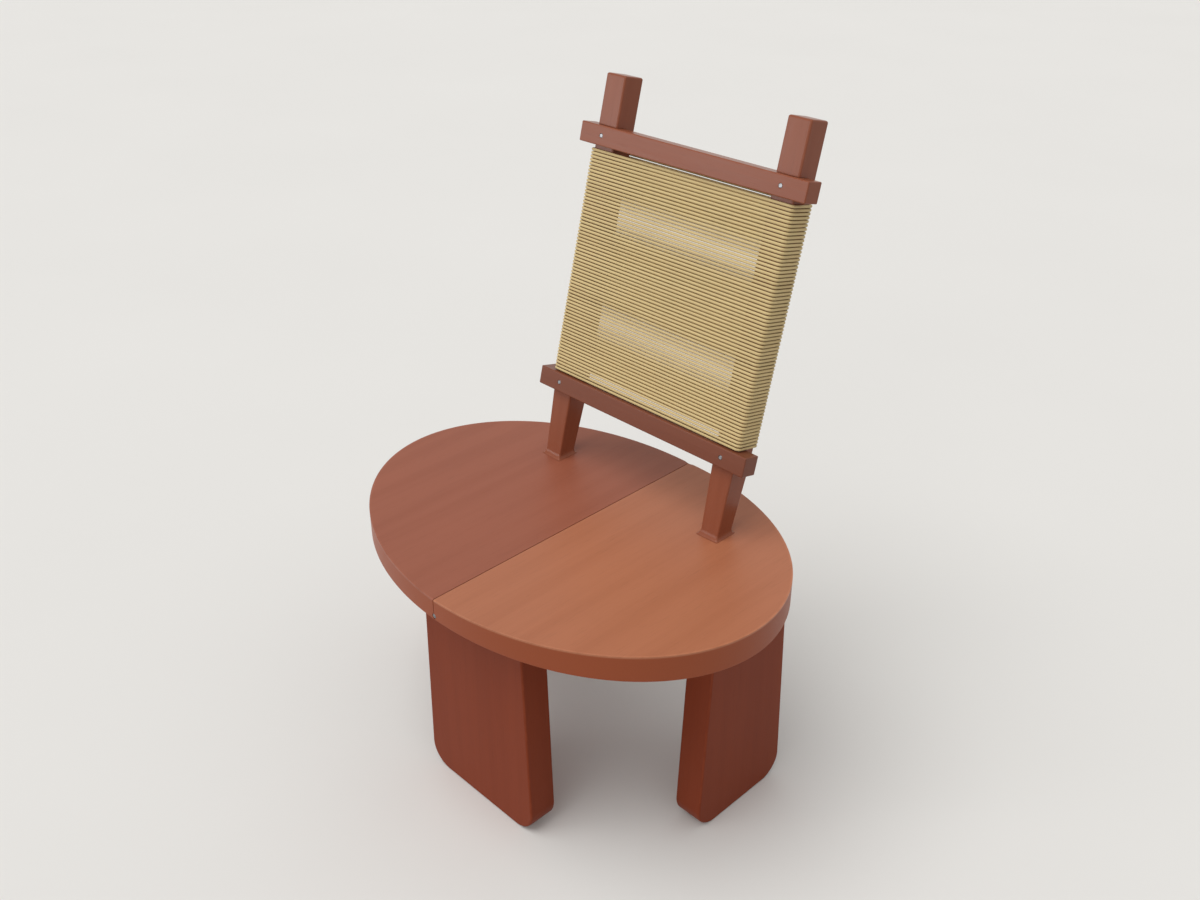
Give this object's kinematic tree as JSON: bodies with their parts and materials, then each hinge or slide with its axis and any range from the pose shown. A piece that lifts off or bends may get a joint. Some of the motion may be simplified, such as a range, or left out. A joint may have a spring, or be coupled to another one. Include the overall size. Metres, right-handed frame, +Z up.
{
  "type": "low lounge chair",
  "caption": "Low wooden lounge chair: an oval seat in two halves on slab legs, with leaning posts and rails and a back wound with cord.",
  "frame": {"origin": "Centre of the overall box, on the floor that the legs stand on", "axes": "+Z up, -Y is the front that a sitter faces, +X is the chair's right side as the picture shows it from the front"},
  "size_m": [0.68, 0.5281, 0.9485],
  "materials": {
    "seat_left_wood": "oiled, satin",
    "seat_right_wood": "oiled, satin",
    "leg_wood": "oiled, satin",
    "post_wood": "oiled, satin",
    "rail_wood": "oiled, satin",
    "pale_wood": "bare",
    "cord_fibre": "twisted paper cord, matt",
    "steel": "satin"
  },
  "bodies": {
    "root": {"seat_half_left": "seat_left_wood", "seat_half_right": "seat_right_wood", "leg_front": "leg_wood", "leg_left": "leg_wood", "leg_right": "leg_wood", "seat_batten": "leg_wood", "batten_screw_1": "steel", "batten_screw_2": "steel", "batten_screw_3": "steel", "batten_screw_4": "steel", "seam_rod": "steel", "post_left": "post_wood", "post_wedge_left": "pale_wood", "post_right": "post_wood", "post_wedge_right": "pale_wood", "rail_lower": "rail_wood", "rail_pin_lower_left": "steel", "rail_pin_lower_right": "steel", "rail_upper": "rail_wood", "rail_pin_upper_left": "steel", "rail_pin_upper_right": "steel", "cord_length_1": "cord_fibre", "cord_length_2": "cord_fibre", "cord_length_3": "cord_fibre"}
  },
  "joints": []
}
